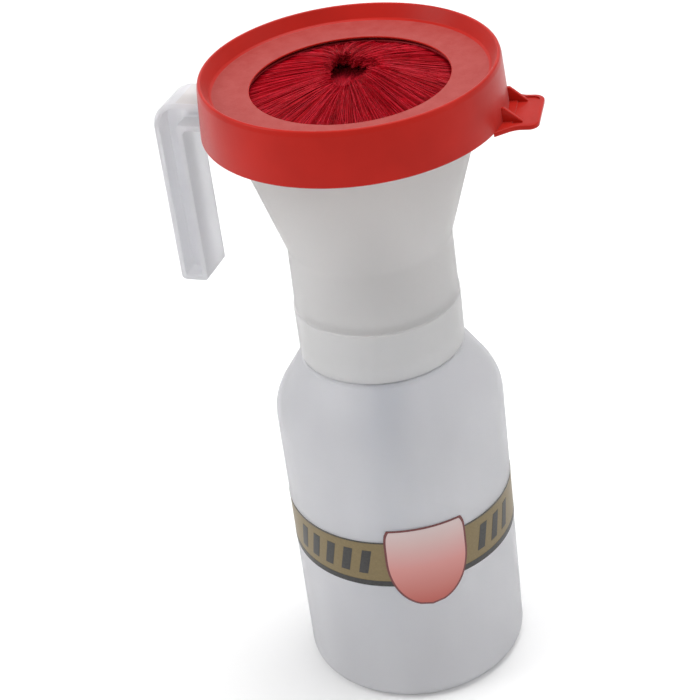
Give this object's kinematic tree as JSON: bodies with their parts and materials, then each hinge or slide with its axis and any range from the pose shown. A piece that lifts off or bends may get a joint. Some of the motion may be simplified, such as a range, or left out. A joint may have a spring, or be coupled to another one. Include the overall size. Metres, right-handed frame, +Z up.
{
  "type": "teat dip cup",
  "caption": "Hand squeeze bottle with a screw-on flared cup, a hanging hook, and a snap lid whose ring of bristles closes in on a small hole; used to coat a teat with dip.",
  "frame": {"origin": "middle of the bottle's base, on the surface it stands on", "axes": "+Z up along the axis of the bottle and cup, -X towards the hanging hook"},
  "size_m": [0.1135, 0.0872, 0.2054],
  "materials": {
    "milky_plastic": "translucent, soft sheen",
    "printed_ink": "screen-printed ink, satin",
    "seal_foam": "matt foam",
    "tube_plastic": "translucent, pale blue",
    "red_plastic": "glossy moulded",
    "carrier_plastic": "moulded, matt",
    "steel": "drawn, plain",
    "bristle_nylon": "fine filaments, slight sheen"
  },
  "bodies": {
    "bottle": {"bottle": "milky_plastic", "print_band": "printed_ink"},
    "seal": {"neck_seal": "seal_foam"},
    "cup": {"cup": "milky_plastic", "standpipe": "milky_plastic", "dip_tube": "tube_plastic"},
    "lid": {"lid_ring": "red_plastic"},
    "brush": {"brush_carrier": "carrier_plastic", "brush_channel": "steel", "brush_core_wire": "steel", "bristle_roots": "bristle_nylon"},
    "tuft_01": {"bristle_tuft_01": "bristle_nylon"},
    "tuft_02": {"bristle_tuft_02": "bristle_nylon"},
    "tuft_03": {"bristle_tuft_03": "bristle_nylon"},
    "tuft_04": {"bristle_tuft_04": "bristle_nylon"},
    "tuft_05": {"bristle_tuft_05": "bristle_nylon"},
    "tuft_06": {"bristle_tuft_06": "bristle_nylon"},
    "tuft_07": {"bristle_tuft_07": "bristle_nylon"},
    "tuft_08": {"bristle_tuft_08": "bristle_nylon"},
    "tuft_09": {"bristle_tuft_09": "bristle_nylon"},
    "tuft_10": {"bristle_tuft_10": "bristle_nylon"},
    "tuft_11": {"bristle_tuft_11": "bristle_nylon"},
    "tuft_12": {"bristle_tuft_12": "bristle_nylon"},
    "tuft_13": {"bristle_tuft_13": "bristle_nylon"},
    "tuft_14": {"bristle_tuft_14": "bristle_nylon"},
    "tuft_15": {"bristle_tuft_15": "bristle_nylon"},
    "tuft_16": {"bristle_tuft_16": "bristle_nylon"}
  },
  "joints": [
    {"name": "collar_lift", "type": "slide", "parent": "bottle", "child": "seal", "axis": [0, 0, 1], "range_m": [0, 0.00526]},
    {"name": "cup_turn", "type": "hinge", "parent": "seal", "child": "cup", "pos_m": [0, 0, 0.1301], "axis": [0, 0, 1], "range_deg": [0, 450]},
    {"name": "lid_lift", "type": "slide", "parent": "cup", "child": "lid", "axis": [0, 0, 1], "range_m": [0, 0.06]},
    {"name": "brush_lift", "type": "slide", "parent": "cup", "child": "brush", "axis": [0, 0, 1], "range_m": [0, 0.03]},
    {"name": "bristle_bend_01", "type": "hinge", "parent": "brush", "child": "tuft_01", "pos_m": [0.0257, 0.00511, 0.1968], "axis": [0.1951, -0.9808, 0], "range_deg": [-35, 55], "stiffness_Nm_per_rad": 0.01},
    {"name": "bristle_bend_02", "type": "hinge", "parent": "brush", "child": "tuft_02", "pos_m": [0.02178, 0.01456, 0.1968], "axis": [0.5556, -0.8315, 0], "range_deg": [-35, 55], "stiffness_Nm_per_rad": 0.01},
    {"name": "bristle_bend_03", "type": "hinge", "parent": "brush", "child": "tuft_03", "pos_m": [0.01456, 0.02178, 0.1968], "axis": [0.8315, -0.5556, 0], "range_deg": [-35, 55], "stiffness_Nm_per_rad": 0.01},
    {"name": "bristle_bend_04", "type": "hinge", "parent": "brush", "child": "tuft_04", "pos_m": [0.00511, 0.0257, 0.1968], "axis": [0.9808, -0.1951, 0], "range_deg": [-35, 55], "stiffness_Nm_per_rad": 0.01},
    {"name": "bristle_bend_05", "type": "hinge", "parent": "brush", "child": "tuft_05", "pos_m": [-0.00511, 0.0257, 0.1968], "axis": [0.9808, 0.1951, 0], "range_deg": [-35, 55], "stiffness_Nm_per_rad": 0.01},
    {"name": "bristle_bend_06", "type": "hinge", "parent": "brush", "child": "tuft_06", "pos_m": [-0.01456, 0.02178, 0.1968], "axis": [0.8315, 0.5556, 0], "range_deg": [-35, 55], "stiffness_Nm_per_rad": 0.01},
    {"name": "bristle_bend_07", "type": "hinge", "parent": "brush", "child": "tuft_07", "pos_m": [-0.02178, 0.01456, 0.1968], "axis": [0.5556, 0.8315, 0], "range_deg": [-35, 55], "stiffness_Nm_per_rad": 0.01},
    {"name": "bristle_bend_08", "type": "hinge", "parent": "brush", "child": "tuft_08", "pos_m": [-0.0257, 0.00511, 0.1968], "axis": [0.1951, 0.9808, 0], "range_deg": [-35, 55], "stiffness_Nm_per_rad": 0.01},
    {"name": "bristle_bend_09", "type": "hinge", "parent": "brush", "child": "tuft_09", "pos_m": [-0.0257, -0.00511, 0.1968], "axis": [-0.1951, 0.9808, 0], "range_deg": [-35, 55], "stiffness_Nm_per_rad": 0.01},
    {"name": "bristle_bend_10", "type": "hinge", "parent": "brush", "child": "tuft_10", "pos_m": [-0.02178, -0.01456, 0.1968], "axis": [-0.5556, 0.8315, 0], "range_deg": [-35, 55], "stiffness_Nm_per_rad": 0.01},
    {"name": "bristle_bend_11", "type": "hinge", "parent": "brush", "child": "tuft_11", "pos_m": [-0.01456, -0.02178, 0.1968], "axis": [-0.8315, 0.5556, 0], "range_deg": [-35, 55], "stiffness_Nm_per_rad": 0.01},
    {"name": "bristle_bend_12", "type": "hinge", "parent": "brush", "child": "tuft_12", "pos_m": [-0.00511, -0.0257, 0.1968], "axis": [-0.9808, 0.1951, 0], "range_deg": [-35, 55], "stiffness_Nm_per_rad": 0.01},
    {"name": "bristle_bend_13", "type": "hinge", "parent": "brush", "child": "tuft_13", "pos_m": [0.00511, -0.0257, 0.1968], "axis": [-0.9808, -0.1951, 0], "range_deg": [-35, 55], "stiffness_Nm_per_rad": 0.01},
    {"name": "bristle_bend_14", "type": "hinge", "parent": "brush", "child": "tuft_14", "pos_m": [0.01456, -0.02178, 0.1968], "axis": [-0.8315, -0.5556, 0], "range_deg": [-35, 55], "stiffness_Nm_per_rad": 0.01},
    {"name": "bristle_bend_15", "type": "hinge", "parent": "brush", "child": "tuft_15", "pos_m": [0.02178, -0.01456, 0.1968], "axis": [-0.5556, -0.8315, 0], "range_deg": [-35, 55], "stiffness_Nm_per_rad": 0.01},
    {"name": "bristle_bend_16", "type": "hinge", "parent": "brush", "child": "tuft_16", "pos_m": [0.0257, -0.00511, 0.1968], "axis": [-0.1951, -0.9808, 0], "range_deg": [-35, 55], "stiffness_Nm_per_rad": 0.01}
  ],
  "couplings": [
    {"joint": "collar_lift", "follows": "cup_turn", "m_per_rad": 0.00066845},
    {"joint": "brush_lift", "follows": "lid_lift", "ratio": 0.5},
    {"joint": "bristle_bend_02", "follows": "bristle_bend_01", "ratio": 1},
    {"joint": "bristle_bend_03", "follows": "bristle_bend_01", "ratio": 1},
    {"joint": "bristle_bend_04", "follows": "bristle_bend_01", "ratio": 1},
    {"joint": "bristle_bend_05", "follows": "bristle_bend_01", "ratio": 1},
    {"joint": "bristle_bend_06", "follows": "bristle_bend_01", "ratio": 1},
    {"joint": "bristle_bend_07", "follows": "bristle_bend_01", "ratio": 1},
    {"joint": "bristle_bend_08", "follows": "bristle_bend_01", "ratio": 1},
    {"joint": "bristle_bend_09", "follows": "bristle_bend_01", "ratio": 1},
    {"joint": "bristle_bend_10", "follows": "bristle_bend_01", "ratio": 1},
    {"joint": "bristle_bend_11", "follows": "bristle_bend_01", "ratio": 1},
    {"joint": "bristle_bend_12", "follows": "bristle_bend_01", "ratio": 1},
    {"joint": "bristle_bend_13", "follows": "bristle_bend_01", "ratio": 1},
    {"joint": "bristle_bend_14", "follows": "bristle_bend_01", "ratio": 1},
    {"joint": "bristle_bend_15", "follows": "bristle_bend_01", "ratio": 1},
    {"joint": "bristle_bend_16", "follows": "bristle_bend_01", "ratio": 1}
  ]
}
